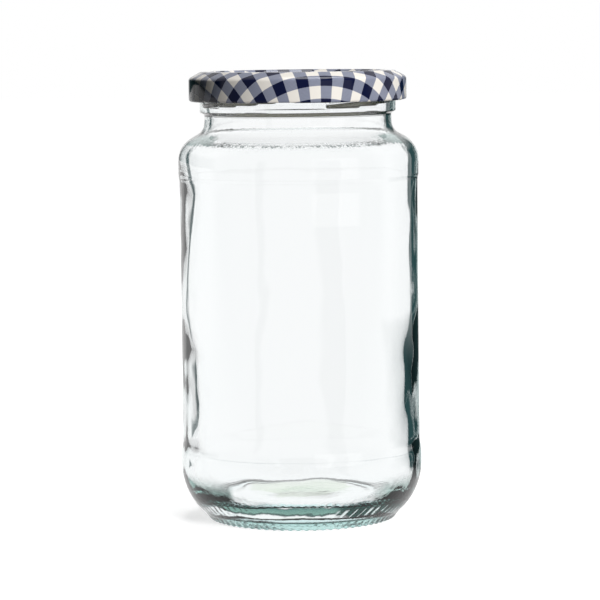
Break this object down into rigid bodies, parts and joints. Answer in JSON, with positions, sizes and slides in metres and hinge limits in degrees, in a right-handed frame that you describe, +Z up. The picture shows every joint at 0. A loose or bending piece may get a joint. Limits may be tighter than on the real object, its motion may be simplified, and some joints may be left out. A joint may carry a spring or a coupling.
{
  "type": "preserving jar",
  "caption": "Straight-sided clear glass preserving jar with a knurled foot and a recessed label panel, closed by a gingham-printed tinplate twist-off lid.",
  "frame": {"origin": "centre of the foot ring, on the surface that the jar stands on", "axes": "+Z up along the axis of the jar, the front of the jar towards -Y, +X to its right"},
  "size_m": [0.0816, 0.0816, 0.1513],
  "materials": {
    "glass": "clear soda-lime glass with a faint green tint",
    "printed_tinplate": "lacquered tinplate printed in a navy and cream gingham",
    "sealing_compound": "soft off-white sealing compound"
  },
  "bodies": {
    "root": {"jar": "glass", "lid": "printed_tinplate", "seal": "sealing_compound"}
  },
  "joints": []
}
